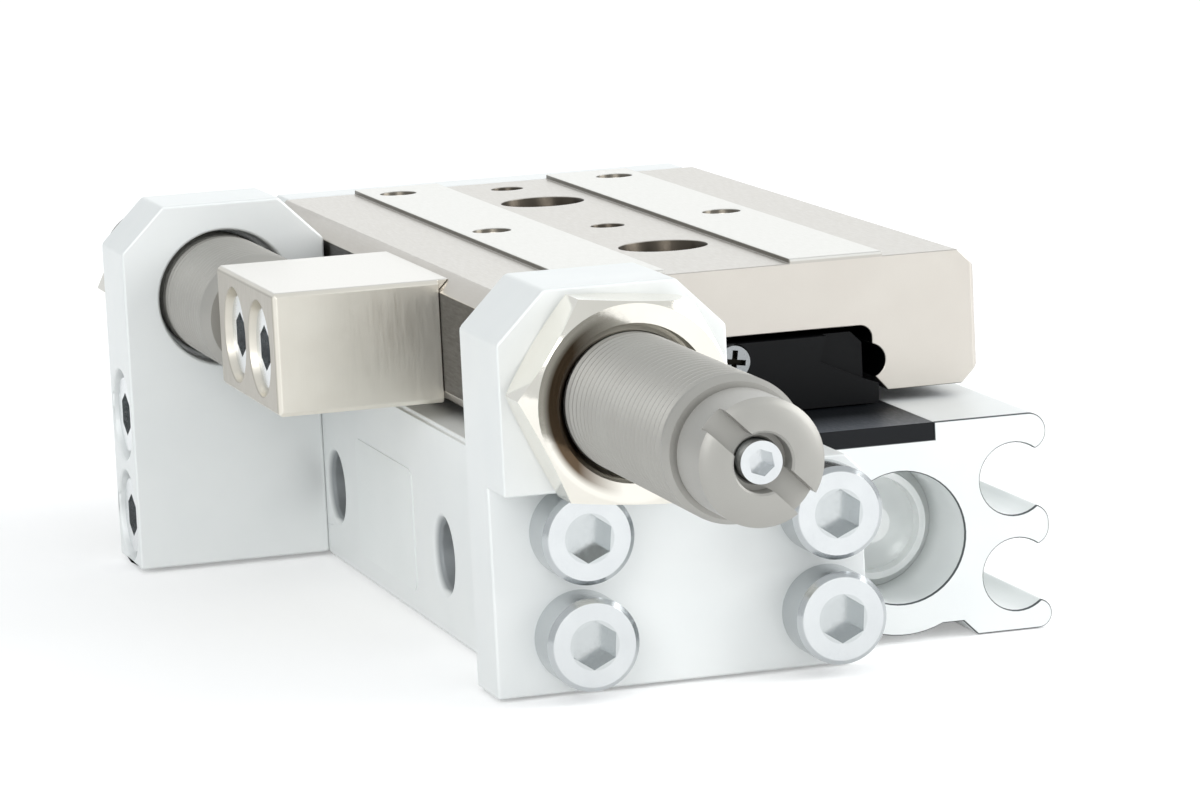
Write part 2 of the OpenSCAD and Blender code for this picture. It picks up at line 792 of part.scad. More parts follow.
module near_bracket() {
    x0 = bracket_x;
    color("#E7EAEB") difference() {
        union() {
            along_y(near - near_boss_t, near) bracket_top(x0, near_plate_h);
            along_y(near - near_plate_t, near) union() {
                translate([x0, bracket_z]) square([bracket_w, near_plate_h - bracket_z + eps]);
                cut_rect([x0 + 2, bracket_z], [x0 + near_plate_w, near_plate_h], 0.9);
            }
        }
        rod_y(near_axis_x, absorber_z, near - 10, near + 1, absorber_fit);
        for (x = near_screw_x, z = near_screw_z) rod_y(x, z, near - 10, near + 1, clear_hole_d);
    }
}

module near_bracket_screws() {
    color("#DADDDF") for (x = near_screw_x, z = near_screw_z)
        translate([x, near - near_plate_t, z]) rotate([90, 10 * z, 0]) cap_screw(screw_d, near_screw_l);
}

module far_bracket() {
    x0 = far_right - bracket_w;
    mid_y = far_y + far_t / 2;
    color("#E7EAEB") difference() {
        union() {
            along_y(far_y, far_y + far_t) bracket_top(x0, body_h + 0.3);
            translate([x0, far_y, bracket_z + 0.1]) cube([-side - x0, far_t, body_h + 0.3]);
        }
        rod_y(far_axis_x, absorber_z, far_y - 1, far_y + far_t + 1, absorber_fit);
        rod_y(far_axis_x, absorber_z, far_y - 1, far_y + far_mouth_t, far_mouth_d);
        for (z = far_screw_z) {
            rod_x(mid_y, z, x0 - 1, -side + 1, clear_hole_d);
            rod_x(mid_y, z, x0 - 1, x0 + head_h + far_head_sink, counterbore_d);
        }
    }
}

module far_bracket_screws() {
    x = far_right - bracket_w + head_h + far_head_sink;
    color("#DADDDF") for (z = far_screw_z)
        translate([x, far_y + far_t / 2, z]) rotate([0, -90, 0]) cap_screw(screw_d, far_screw_l);
}

// ---- shock absorbers: drawn with the nose at z = 0 pointing up, the slotted end at -absorber_l ----

module absorber_body() {
    l = absorber_l;
    difference() {
        rotate_extrude() polygon([
            [0, -l], [absorber_step_d / 2 - 0.45, -l], [absorber_step_d / 2, 0.35 - l],
            [absorber_step_d / 2, absorber_step_l - l],
            [absorber_step_d / 2 - 0.25, absorber_step_l - l],
            [absorber_step_d / 2 - 0.25, absorber_step_l + absorber_neck_l - l],
            [absorber_d / 2 - 0.3, absorber_step_l + absorber_neck_l - l],
            [absorber_d / 2, absorber_step_l + absorber_neck_l + 0.4 - l],
            [absorber_d / 2, -0.5], [absorber_d / 2 - 0.5, 0], [0, 0]
        ]);
        translate([0, 0, -absorber_cavity_l - gland_l])
            cylinder(d = absorber_cavity_d, h = absorber_cavity_l + gland_l + 1);
        translate([0, 0, -l - 1]) cylinder(d = plug_recess_d, h = 1 + absorber_slot_h);
        translate([0, 0, -l - 1]) cylinder(d = plug_screw_d + 2 * seat, h = 6);
        rotate(45) translate([-absorber_d, -absorber_slot_w / 2, -l - 1])
            cube([2 * absorber_d, absorber_slot_w, 1 + absorber_slot_h]);
    }
}

// Nose bush that guides the rod and closes the oil chamber.
module absorber_gland() {
    translate([0, 0, -gland_l]) difference() {
        cylinder(d = absorber_cavity_d - 2 * seat, h = gland_l);
        translate([0, 0, -1]) cylinder(d = absorber_rod_d + 2 * rod_clearance, h = gland_l + 2);
    }
}

// Rod with its damping head, standing out of the nose by the given amount.
module absorber_rod(out) {
    head_z = out - absorber_stroke - gland_l - head_gap;
    rotate_extrude() polygon([
        [0, head_z - rod_head_l], [rod_head_d / 2, head_z - rod_head_l], [rod_head_d / 2, head_z],
        [absorber_rod_d / 2, head_z], [absorber_rod_d / 2, out - 0.3],
        [absorber_rod_d / 2 - 0.3, out], [0, out]
    ]);
}

// Return spring behind the damping head, as long as the chamber leaves it with the rod fully in.
module absorber_spring(out) {
    top_z = out - absorber_stroke - gland_l - head_gap - rod_head_l - seat;
    spring_l = absorber_cavity_l - absorber_stroke - head_gap - rod_head_l
        - 2 * spring_wire_r - seat - spring_end_gap;
    translate([0, 0, top_z - spring_l - spring_wire_r])
        coil_spring(spring_l, spring_turns, spring_coil_r, spring_wire_r);
}

// Hex-socket screw that closes the filling hole.
module absorber_plug() {
    translate([0, 0, -absorber_l]) difference() {
        translate([0, 0, 0.35]) cylinder(d = plug_screw_d, h = 4);
        translate([0, 0, -1]) rotate(20) cylinder(d = 1.5, h = 2.4, $fn = 6);
    }
}

// Places an absorber piece on the near bracket, nose towards the table.
module near_absorber() {
    translate([near_axis_x, near_nose_y, absorber_z]) rotate([-90, 0, 0]) children();
}

// Places an absorber piece on the far bracket, nose towards the stopper block.
module far_absorber() {
    translate([far_axis_x, far_nose_y, absorber_z]) rotate([90, 0, 0]) children();
}

module near_absorber_body() { color("#A3A39E") near_absorber() absorber_body(); }
module far_absorber_body() { color("#A3A39E") far_absorber() absorber_body(); }
module near_absorber_gland() { color("#B08D57") near_absorber() absorber_gland(); }
module far_absorber_gland() { color("#B08D57") far_absorber() absorber_gland(); }
module near_absorber_rod() { color("#D4D6D8") near_absorber() absorber_rod(near_rod_out); }
module far_absorber_rod() { color("#D4D6D8") far_absorber() absorber_rod(far_rod_out); }
module near_absorber_spring() { color("#8C8F93") near_absorber() absorber_spring(near_rod_out); }
module far_absorber_spring() { color("#8C8F93") far_absorber() absorber_spring(far_rod_out); }
module near_absorber_plug() { color("#D9DCDE") near_absorber() absorber_plug(); }
module far_absorber_plug() { color("#D9DCDE") far_absorber() absorber_plug(); }

module near_absorber_nut() {
    color("#D8D3C8") translate([near_axis_x, near - near_boss_t, absorber_z])
        rotate([90, 0, 0]) rotate(-5) hex_nut(nut_af, nut_t, absorber_fit);
}

module far_absorber_nut() {
    color("#D8D3C8") translate([far_axis_x, far_y + far_t + nut_t, absorber_z])
        rotate([90, 0, 0]) hex_nut(nut_af, nut_t, absorber_fit);
}

body();
guide_base();
guide_block();
near_guide_cover();
far_guide_cover();
guide_cover_screws();
guide_screws();
load_balls();
return_balls();
table();
stopper_block();
stopper_screws();
end_plate();
end_plate_screws();
piston_rods();
pistons();
piston_seals();
piston_magnets();
piston_bumpers();
rod_covers();
rod_cover_seals();
rod_seals();
rod_cover_rings();
head_plugs();
near_bracket();
near_bracket_screws();
far_bracket();
far_bracket_screws();
near_absorber_body();
near_absorber_rod();
near_absorber_gland();
near_absorber_spring();
near_absorber_nut();
near_absorber_plug();
far_absorber_body();
far_absorber_rod();
far_absorber_gland();
far_absorber_spring();
far_absorber_nut();
far_absorber_plug();
label();
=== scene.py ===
import math

import bmesh
import bpy
import numpy as np
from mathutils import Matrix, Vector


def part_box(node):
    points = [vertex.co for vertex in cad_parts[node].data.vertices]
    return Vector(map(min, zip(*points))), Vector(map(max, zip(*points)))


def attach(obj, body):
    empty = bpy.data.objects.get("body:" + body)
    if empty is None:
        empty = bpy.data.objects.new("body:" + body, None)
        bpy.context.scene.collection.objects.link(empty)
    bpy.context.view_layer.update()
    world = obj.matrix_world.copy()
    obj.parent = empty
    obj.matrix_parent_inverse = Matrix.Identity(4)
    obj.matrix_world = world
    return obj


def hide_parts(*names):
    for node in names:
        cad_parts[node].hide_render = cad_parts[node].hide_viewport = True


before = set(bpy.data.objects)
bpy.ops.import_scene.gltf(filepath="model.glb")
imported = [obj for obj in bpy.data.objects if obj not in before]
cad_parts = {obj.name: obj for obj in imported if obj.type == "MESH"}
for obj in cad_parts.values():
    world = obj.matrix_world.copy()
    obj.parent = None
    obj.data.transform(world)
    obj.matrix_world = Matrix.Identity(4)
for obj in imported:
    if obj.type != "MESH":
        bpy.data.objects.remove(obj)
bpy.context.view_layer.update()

mm = 0.001
scene = bpy.context.scene


def nodeBox(name):
    # lowest and highest corner of a CAD node, in millimetres
    return [np.array(corner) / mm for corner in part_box(name)]


def middleOf(name):
    # the middle of a CAD node's box seen along Y: X and Z in millimetres
    low, high = nodeBox(name)
    return (low[0] + high[0]) / 2, (low[2] + high[2]) / 2


def hexColour(code):
    # sRGB hex to the linear colour that a shader socket takes
    code = code.lstrip("#")
    srgb = np.array([int(code[i:i + 2], 16) / 255 for i in (0, 2, 4)])
    linear = np.where(srgb <= 0.04045, srgb / 12.92, ((srgb + 0.055) / 1.055) ** 2.4)
    return (*linear.tolist(), 1.0)


def addNode(tree, kind, settings=None, values=None, links=None):
    # one node with its settings, the values of its inputs, and what feeds them
    node = tree.nodes.new(kind)
    for key, value in (settings or {}).items():
        setattr(node, key, value)
    for key, value in (values or {}).items():
        node.inputs[key].default_value = value
    for key, source in (links or {}).items():
        tree.links.new(source, node.inputs[key])
    return node


def finishedSurface(name, tones, metallic, roughness, grain, relief, stretch=(1, 1, 1),
                    patchSize=6.0, patchRough=0.05, specular=0.5):
    # Two close tones in soft patches, and a fine grain that stirs the gloss and the bump.
    # grain, patchSize and relief (the depth of the grain) are in millimetres.
    material = bpy.data.materials.new(name)
    material.use_nodes = True
    tree = material.node_tree
    tree.nodes.clear()
    place = addNode(tree, "ShaderNodeTexCoord")
    drawn = addNode(tree, "ShaderNodeMapping", values={"Scale": stretch},
                    links={"Vector": place.outputs["Object"]})
    fine = addNode(tree, "ShaderNodeTexNoise",
                   values={"Scale": 1 / (grain * mm), "Detail": 3.0, "Roughness": 0.6},
                   links={"Vector": drawn.outputs[0]})
    patch = addNode(tree, "ShaderNodeTexNoise",
                    values={"Scale": 1 / (patchSize * mm), "Detail": 2.0},
                    links={"Vector": place.outputs["Object"]})
    tone = addNode(tree, "ShaderNodeMix", {"data_type": "RGBA"},
                   {"A": hexColour(tones[0]), "B": hexColour(tones[1])},
                   {"Factor": patch.outputs["Fac"]})
    gloss = addNode(tree, "ShaderNodeMapRange",
                    values={"From Min": 0.3, "From Max": 0.7, "To Min": roughness - patchRough,
                            "To Max": roughness + patchRough},
                    links={"Value": fine.outputs["Fac"]})
    bump = addNode(tree, "ShaderNodeBump", values={"Strength": 1.0, "Distance": relief * mm},
                   links={"Height": fine.outputs["Fac"]})
    shader = addNode(tree, "ShaderNodeBsdfPrincipled",
                     values={"Metallic": metallic, "Specular IOR Level": specular},
                     links={"Base Color": tone.outputs["Result"], "Roughness": gloss.outputs[0],
                            "Normal": bump.outputs[0]})
    addNode(tree, "ShaderNodeOutputMaterial", links={"Surface": shader.outputs[0]})
    return material


def toneWithin(material, tone, *ramps, centre=(0, 0)):
    # Blends to another tone where every ramp is full. A ramp names a measure, and where it
    # is empty and full, in millimetres: "X", "Y", "Z" are places, "side" the distance from
    # the middle plane, "round" the distance from a line along Y through centre (X, Z).
    tree = material.node_tree
    shader = next(n for n in tree.nodes if n.type == "BSDF_PRINCIPLED")
    below = shader.inputs["Base Color"].links[0].from_socket
    place = addNode(tree, "ShaderNodeTexCoord")
    split = addNode(tree, "ShaderNodeSeparateXYZ", links={0: place.outputs["Object"]})
    share = None
    for measure, empty, full in ramps:
        if measure == "side":
            along = addNode(tree, "ShaderNodeMath", {"operation": "ABSOLUTE"},
                            links={0: split.outputs["X"]}).outputs[0]
        elif measure == "round":
            flat = addNode(tree, "ShaderNodeCombineXYZ",
                           links={0: split.outputs["X"], 1: split.outputs["Z"]})
            along = addNode(tree, "ShaderNodeVectorMath", {"operation": "DISTANCE"},
                            {1: (centre[0] * mm, centre[1] * mm, 0)},
                            {0: flat.outputs[0]}).outputs["Value"]
        else:
            along = split.outputs[measure]
        ramp = addNode(tree, "ShaderNodeMapRange",
                       values={"From Min": empty * mm, "From Max": full * mm},
                       links={"Value": along}).outputs[0]
        if share is not None:
            ramp = addNode(tree, "ShaderNodeMath", {"operation": "MULTIPLY"},
                           links={0: share, 1: ramp}).outputs[0]
        share = ramp
    blend = addNode(tree, "ShaderNodeMix", {"data_type": "RGBA"}, {"B": hexColour(tone)},
                    {"A": below, "Factor": share})
    tree.links.new(blend.outputs["Result"], shader.inputs["Base Color"])


def dress(material, *names):
    # gives CAD nodes their finished material
    for name in names:
        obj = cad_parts[name]
        if not obj.material_slots:
            obj.data.materials.append(material)
        for slot in obj.material_slots:
            slot.material = material


# lengths in metres and angles in degrees
edgeBreak = {"joinWithin": 1e-6, "flatWithin": 0.5, "sharperThan": 35, "segments": 2}


def breakEdges(width, *names):
    # Joins the triangles of each flat face, and rounds the edges between faces that meet at
    # more than the named angle, in degrees, over a width in millimetres.
    for name in names:
        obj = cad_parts[name]
        weld = obj.modifiers.new("weld", "WELD")
        weld.merge_threshold = edgeBreak["joinWithin"]
        flat = obj.modifiers.new("flat faces", "DECIMATE")
        flat.decimate_type = "DISSOLVE"
        flat.angle_limit = math.radians(edgeBreak["flatWithin"])
        bevel = obj.modifiers.new("edge break", "BEVEL")
        bevel.limit_method = "ANGLE"
        bevel.angle_limit = math.radians(edgeBreak["sharperThan"])
        bevel.width = width * mm
        bevel.segments = edgeBreak["segments"]
        bevel.use_clamp_overlap = False
        bevel.harden_normals = True


# lengths in metres and the angle in degrees
closing = {"joinWithin": 5e-7, "dropUnder": 1e-7, "sharperThan": 40}


def closedGrid(name, points, material, body):
    # Makes an object from a grid of points (rows, columns, 3) whose last column meets its
    # first, with its first and last rows drawn to a pole. Points that coincide are joined,
    # and edges between faces that meet at more than the named angle are shaded sharp.
    rows, columns = points.shape[:2]
    index = np.arange(rows * columns).reshape(rows, columns)
    quads = np.stack([index[:-1, :-1], index[:-1, 1:], index[1:, 1:], index[1:, :-1]], axis=-1)
    mesh = bpy.data.meshes.new(name)
    mesh.from_pydata(points.reshape(-1, 3).tolist(), [], quads.reshape(-1, 4).tolist())
    work = bmesh.new()
    work.from_mesh(mesh)
    bmesh.ops.remove_doubles(work, verts=work.verts, dist=closing["joinWithin"])
    bmesh.ops.dissolve_degenerate(work, edges=work.edges, dist=closing["dropUnder"])
    bmesh.ops.recalc_face_normals(work, faces=work.faces)
    work.to_mesh(mesh)
    work.free()
    mesh.shade_smooth()
    mesh.set_sharp_from_angle(angle=math.radians(closing["sharperThan"]))
    mesh.materials.append(material)
    obj = bpy.data.objects.new(name, mesh)
    scene.collection.objects.link(obj)
    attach(obj, body)
    return obj


# place in millimetres, turn in degrees, focal length and film width in millimetres
camera = {"place": (-94.97, -320.02, 64.03), "turn": (81.132, 2.776, -16.455),
          "lens": 159.03, "film": 36}
lens = bpy.data.cameras.new("camera")
lens.lens = camera["lens"]
lens.sensor_width = camera["film"]
lens.clip_start = 0.01
lens.clip_end = 20
eye = bpy.data.objects.new("camera", lens)
eye.location = [v * mm for v in camera["place"]]
eye.rotation_euler = [math.radians(v) for v in camera["turn"]]
scene.collection.objects.link(eye)
scene.camera = eye
scene.view_settings.view_transform = "Standard"
print("camera placed")

# clear anodised aluminium, etched matt first: pale, slightly blue, broad soft highlights
clearAnodised = finishedSurface("clearAnodisedAluminium", ("#EEF0EF", "#E6E9E9"), 0.35, 0.5,
                                grain=0.12, relief=0.002, patchSize=5, specular=0.3)
(bodyLeft, bodyNear, _), (_, bodyFar, _) = nodeBox("body")
# painted shade: the broken edges round the body's near face are painted as thin grey lines
toneWithin(clearAnodised, "#54585A", ("Y", bodyNear + 0.002, bodyNear + 0.01),
           ("Y", bodyNear + 0.25, bodyNear + 0.15))
# painted shade: the tapped walls of the two ports are painted darker
ports = {"mouth": 0.03, "lip": 0.3, "end": 4.75, "fade": 1.0, "clearOfEnds": (1.0, 1.5),
         "floor": (2.7, 2.9), "roof": (7.6, 7.4)}
toneWithin(clearAnodised, "#94989A",
           ("X", bodyLeft + ports["mouth"], bodyLeft + ports["lip"]),
           ("X", bodyLeft + ports["end"] + ports["fade"], bodyLeft + ports["end"]),
           ("Y", *(bodyNear + y for y in ports["clearOfEnds"])),
           ("Y", *(bodyFar - y for y in ports["clearOfEnds"])),
           ("Z", *ports["floor"]), ("Z", *ports["roof"]))
# stainless steel ground along the travel: warm light grey with fine lines
groundSteel = finishedSurface("groundStainlessSteel", ("#D8D3CB", "#CEC8C0"), 0.9, 0.34,
                              grain=0.14, relief=0.002, stretch=(1, 0.12, 1), patchSize=4)
tableForm = {"padHeight": 0.3, "channelHalf": 10.0, "channelTop": 17.95}
(tableLeft, tableNear, tableUnder), (_, _, padTop) = nodeBox("table")
shoulder = padTop - tableForm["padHeight"]
channelTop = tableForm["channelTop"]
inChannel = ("side", tableForm["channelHalf"] + 0.1, tableForm["channelHalf"])
behindEndFace = ("Y", tableNear + 0.1, tableNear + 0.2)
# painted light and shade on the tops: the shoulders are painted a little darker than the end face,
# and the two mounting pads are painted brighter
toneWithin(groundSteel, "#C2BEB7", ("Z", shoulder - 0.06, shoulder - 0.03))
toneWithin(groundSteel, "#D9D8D3", ("Z", shoulder + 0.08, shoulder + 0.16))
# painted shade: the left side, underside, drilled walls and guide channel are painted dark
toneWithin(groundSteel, "#2A2620", ("X", tableLeft + 0.01, tableLeft + 0.002))
toneWithin(groundSteel, "#14110E", ("Z", tableUnder + 0.05, tableUnder + 0.02))
toneWithin(groundSteel, "#4C463E", inChannel, behindEndFace,
           ("Z", channelTop + 0.05, channelTop + 0.07), ("Z", shoulder - 0.02, shoulder - 0.06))
toneWithin(groundSteel, "#6E6960", behindEndFace,
           ("Z", shoulder + 0.01, shoulder + 0.03), ("Z", padTop - 0.02, padTop - 0.06))
toneWithin(groundSteel, "#0E1013", inChannel, ("Y", tableNear + 0.01, tableNear + 0.1),
           ("Z", channelTop + 0.05, channelTop + 0.02))
# the same steel on the stopper block, cut up and down
blockSteel = finishedSurface("milledBlockSteel", ("#E9E5DB", "#DBD6CB"), 0.9, 0.36,
                             grain=0.16, relief=0.003, stretch=(1, 1, 0.08), patchSize=3)
(blockLeft, _, _), (_, _, blockTop) = nodeBox("stopper_block")
# painted light and shade: its top is painted one even tone for the light on it, and the side
# with the screws is painted less bright, as it lies in shade
toneWithin(blockSteel, "#E0DED9", ("Z", blockTop - 0.08, blockTop - 0.02))
toneWithin(blockSteel, "#ADA89E", ("X", blockLeft + 0.09, blockLeft + 0.01))
# black oxide on ground steel: nearly black with a blue cast, satin
blackOxide = finishedSurface("blackOxideSteel", ("#0D1015", "#080B0F"), 0.0, 0.4,
                             grain=0.15, relief=0.001, stretch=(1, 0.2, 1), patchSize=5,
                             specular=0.25)
# painted reflection: the top of the strip's near end is painted blue grey, as sky sheen fading
# back into the table's shadow
stripNear, stripTop = nodeBox("guide_base")[0][1], nodeBox("guide_base")[1][2]
toneWithin(blackOxide, "#565A60", ("Y", stripNear + 5.5, stripNear + 0.2),
           ("Y", stripNear, stripNear + 0.03), ("Z", stripTop + 0.1, stripTop + 0.01))
# moulded acetal: black with a faint mould texture
blackAcetal = finishedSurface("mouldedAcetal", ("#08090B", "#050608"), 0.0, 0.45,
                              grain=0.2, relief=0.002, patchSize=4, specular=0.2)
# bright zinc plate on cap screws: near white, clear reflections
brightZinc = finishedSurface("brightZincPlate", ("#DCDFE0", "#CED1D3"), 0.95, 0.2,
                             grain=0.25, relief=0.001, patchSize=2)
# the same plate on the near bracket's screws, with painted shade on the rim and side of each head
# and inside the socket
rimShadedZinc = finishedSurface("brightZincWithPaintedRimShade", ("#E0E3E4", "#D2D5D7"), 0.95, 0.2,
                             grain=0.25, relief=0.001, patchSize=2)
screwHeads = {"apart": (15, 6.2), "rim": (2.42, 2.5), "side": (3.0, 2.9), "socket": (1.48, 1.45)}
screwsMiddle = np.array(middleOf("near_bracket_screws"))
for stepX, stepZ in ((-0.5, -0.5), (-0.5, 0.5), (0.5, -0.5), (0.5, 0.5)):
    centre = screwsMiddle + np.array(screwHeads["apart"]) * (stepX, stepZ)
    # painted shade: a grey ring over each head's rim and side, and a softer grey in its socket
    toneWithin(rimShadedZinc, "#B9BDBF", ("round", *screwHeads["rim"]),
               ("round", *screwHeads["side"]), centre=centre)
    toneWithin(rimShadedZinc, "#CBCFD0", ("round", *screwHeads["socket"]), centre=centre)
# the small cross screw of the guide's cover: zinc painted darker for the shade it sits in, with
# painted shade in its recess
crossZinc = finishedSurface("zincPlateInPaintedShade", ("#A9ACAE", "#9B9EA0"), 0.9, 0.3,
                            grain=0.2, relief=0.001, patchSize=1)
crossHead = nodeBox("guide_cover_screws")[0][1]
toneWithin(crossZinc, "#16140F", ("round", 0.82, 0.78), ("Y", crossHead + 0.15, crossHead + 0.25),
           centre=middleOf("guide_cover_screws"))
# electroless nickel over blasted steel on the absorber tubes: matt mid grey
mattNickel = finishedSurface("mattNickelPlate", ("#A9A8A3", "#A19F9A"), 0.5, 0.42,
                             grain=0.1, relief=0.001, patchSize=3, patchRough=0.03)
# bright nickel on the nuts: warm white, mirror like
brightNickel = finishedSurface("brightNickelPlate", ("#EFECE4", "#E6E2D8"), 1.0, 0.1,
                               grain=0.3, relief=0.0008, patchSize=2.5, patchRough=0.03)
# painted reflection: the face round the near tube is painted brown, the dark tube mirrored in it,
# most of all on its outer side
tubeMiddle = middleOf("near_absorber_body")
toneWithin(brightNickel, "#5E4F3F", ("round", 5.4, 5.0),
           ("X", tubeMiddle[0] - 0.9, tubeMiddle[0] - 3.5), centre=tubeMiddle)
# polished bearing steel and hard chrome: mirror like with faint draw lines
polishedSteel = finishedSurface("polishedBearingSteel", ("#DDE0E2", "#CFD3D6"), 1.0, 0.12,
                                grain=0.3, relief=0.0005)
# drawn spring wire: mid grey, oiled
springSteel = finishedSurface("drawnSpringSteel", ("#8F9296", "#7F8286"), 0.95, 0.3,
                              grain=0.2, relief=0.001)
# turned aluminium of the closing plugs: silver, finer than the body
turnedAluminium = finishedSurface("turnedAluminium", ("#F1F3F2", "#E8EAE9"), 0.7, 0.34,
                                  grain=0.4, relief=0.0004, patchSize=2)
# turned bearing bronze: golden brown, satin
bearingBronze = finishedSurface("turnedBearingBronze", ("#B8935A", "#A58048"), 0.95, 0.28,
                                grain=0.2, relief=0.001)
# nitrile rubber: black, dull
nitrileRubber = finishedSurface("nitrileRubber", ("#1D1D1D", "#171717"), 0.0, 0.6,
                                grain=0.15, relief=0.003)
# bonded ferrite: dark grey, grainy
bondedFerrite = finishedSurface("bondedFerrite", ("#3A3A3C", "#303032"), 0.1, 0.55,
                                grain=0.15, relief=0.003)
# white polyester film of the blank label
polyesterFilm = finishedSurface("polyesterFilm", ("#EDF0EF", "#E6EAE9"), 0.0, 0.45,
                                grain=0.3, relief=0.0005)

dress(clearAnodised, "body", "near_bracket", "far_bracket", "end_plate", "rod_covers")
dress(groundSteel, "table")
dress(blockSteel, "stopper_block")
dress(blackOxide, "guide_base", "guide_block")
dress(blackAcetal, "near_guide_cover", "far_guide_cover")
dress(brightZinc, "guide_screws", "stopper_screws", "end_plate_screws", "far_bracket_screws",
      "near_absorber_plug", "far_absorber_plug")
dress(rimShadedZinc, "near_bracket_screws")
dress(crossZinc, "guide_cover_screws")
dress(polishedSteel, "load_balls", "return_balls", "piston_rods", "near_absorber_rod",
      "far_absorber_rod")
dress(bearingBronze, "pistons", "near_absorber_gland", "far_absorber_gland")
dress(nitrileRubber, "piston_seals", "piston_bumpers", "rod_cover_seals", "rod_seals")
dress(bondedFerrite, "piston_magnets")
dress(springSteel, "rod_cover_rings", "near_absorber_spring", "far_absorber_spring")
dress(turnedAluminium, "head_plugs")
dress(brightNickel, "near_absorber_nut", "far_absorber_nut")
dress(mattNickel, "near_absorber_body", "far_absorber_body")
dress(polyesterFilm, "label")
breakEdges(0.18, "near_bracket", "far_bracket")
breakEdges(0.08, "body")
breakEdges(0.07, "stopper_block", "table", "end_plate")
print("materials on")

absorber = {
    "pitch": 0.75, "threadDepth": 0.3, "runOut": 0.6,
    "threadStart": 0.6, "threadStop": 0.45,  # from the nose and from the neck
    "turnPhases": (0, 0.125, 0.28, 0.4375, 0.6875, 0.84),  # where a turn's rows lie, in pitches
    "turnCuts": (0, 0, 0.5, 1, 1, 0.5),  # how deep each row is cut, in thread depths
    "noseFlat": 0.5, "noseShoulder": (0.1, 0.42),  # inwards, and how far back the shoulder is
    "neckDiameter": 6.38, "neckLength": 0.4,
    "endDiameter": 6.88, "endLength": 4.2, "endBreak": 0.08,
    "rimWidth": 0.45, "rimLength": 0.35, "slotWidth": 1.45, "slotDepth": 1.3,
    "recessDiameter": 3.2, "recessBreak": 0.12,
    "screwDiameter": 2.4, "screwDepth": 5.0, "screwBreak": 0.1,
    "cavityDiameter": 5.4, "cavityLength": 24.0, "cavityBreak": 0.15,
    "gapColumns": 60, "slotColumns": 7,
}


def tubeProfile(radius, length):
    # The rows run from the oil chamber's floor out over the nose, along the thread, and in
    # over the slotted end to the floor of the screw's hole. For each row: its radius, its
    # distance from the nose, whether it is threaded, and how deep it is cut. Then the places
    # where the thread ends and where the slot's floor lies.
    a = absorber
    neckAt = length - a["endLength"] - a["neckLength"]
    slotFloor = length - a["slotDepth"]
    cavity, neck, end = a["cavityDiameter"] / 2, a["neckDiameter"] / 2, a["endDiameter"] / 2
    recess, screw = a["recessDiameter"] / 2, a["screwDiameter"] / 2
    nose = [(0, a["cavityLength"]), (cavity, a["cavityLength"]), (cavity, a["cavityBreak"]),
            (cavity + a["cavityBreak"], 0), (radius - a["noseFlat"], 0),
            (radius - a["noseShoulder"][0], a["noseShoulder"][1])]
    slottedEnd = [(radius - a["threadDepth"], neckAt), (neck, neckAt),
                  (neck, neckAt + a["neckLength"]), (end - a["endBreak"], neckAt + a["neckLength"]),
                  (end, neckAt + a["neckLength"] + a["endBreak"]), (end, slotFloor),
                  (end, length - a["rimLength"]), (end - a["rimWidth"], length),
                  (recess + a["recessBreak"], length), (recess, length - a["recessBreak"]),
                  (recess, slotFloor), (screw + a["screwBreak"], slotFloor),
                  (screw, slotFloor - a["screwBreak"]), (screw, length - a["screwDepth"]),
                  (0, length - a["screwDepth"])]
    threadEnds = a["threadStart"], neckAt - a["threadStop"]
    turns = np.arange(-1, math.ceil((threadEnds[1] - threadEnds[0]) / a["pitch"]) + 1)
    along = (turns[:, None] + np.array(a["turnPhases"])).ravel() * a["pitch"] + threadEnds[0]
    thread = np.stack([np.full(len(along), radius), along], axis=-1)
    rows = np.vstack([nose, thread, slottedEnd])
    threaded = np.zeros(len(rows), bool)
    threaded[len(nose):len(nose) + len(thread)] = True
    cut = np.zeros(len(rows))
    cut[threaded] = np.tile(a["turnCuts"], len(turns)) * a["threadDepth"]
    return rows[:, 0:1], rows[:, 1:2], threaded[:, None], cut[:, None], threadEnds, slotFloor


def absorberTube(name, node, noseUp, slotTurn):
    # The profile is carried round the tube's axis. In the threaded part each row of points
    # climbs one pitch per turn, so that rows follow the crest and the root of the thread, and
    # the cut fades over the run-out at both ends. Two groups of columns follow the slot's
    # straight sides, at arcsin(half width / radius), and there the distance along the axis
    # stops at the slot's floor.
    low, high = nodeBox(node)
    radius = (high[0] - low[0]) / 2
    centreX, centreZ = middleOf(node)
    across, along, threaded, cut, threadEnds, slotFloor = tubeProfile(radius, high[1] - low[1])
    slotHalf = absorber["slotWidth"] / 2
    half = np.arcsin(slotHalf / np.maximum(across, slotHalf + 0.01))  # always under 90 degrees
    columns = absorber["slotColumns"], absorber["gapColumns"]
    inSlot = half * np.linspace(-1, 1, columns[0])
    between = half + (math.pi - 2 * half) * np.linspace(0, 1, columns[1])
    angle = np.hstack([inSlot, between, inSlot + math.pi, between + math.pi,
                       inSlot[:, :1] + 2 * math.pi])
    slotted = np.append(np.tile(np.repeat([True, False], columns), 2), True)
    climb = absorber["pitch"] * (angle - angle[:, 0:1]) / (2 * math.pi)
    climbed = np.where(threaded, np.clip(along + climb, *threadEnds), along)
    fromEnds = np.minimum(climbed - threadEnds[0], threadEnds[1] - climbed)
    fromAxis = across - cut * np.clip(fromEnds / absorber["runOut"], 0, 1)
    climbed = np.where(slotted & (climbed > slotFloor), slotFloor, climbed)
    turn = slotTurn + (angle if noseUp else -angle)
    y = high[1] - climbed if noseUp else low[1] + climbed
    points = np.stack([centreX + fromAxis * np.cos(turn), y, centreZ + fromAxis * np.sin(turn)],
                      axis=-1)
    obj = closedGrid(name, points * mm, mattNickel, "cylinder")
    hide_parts(node)


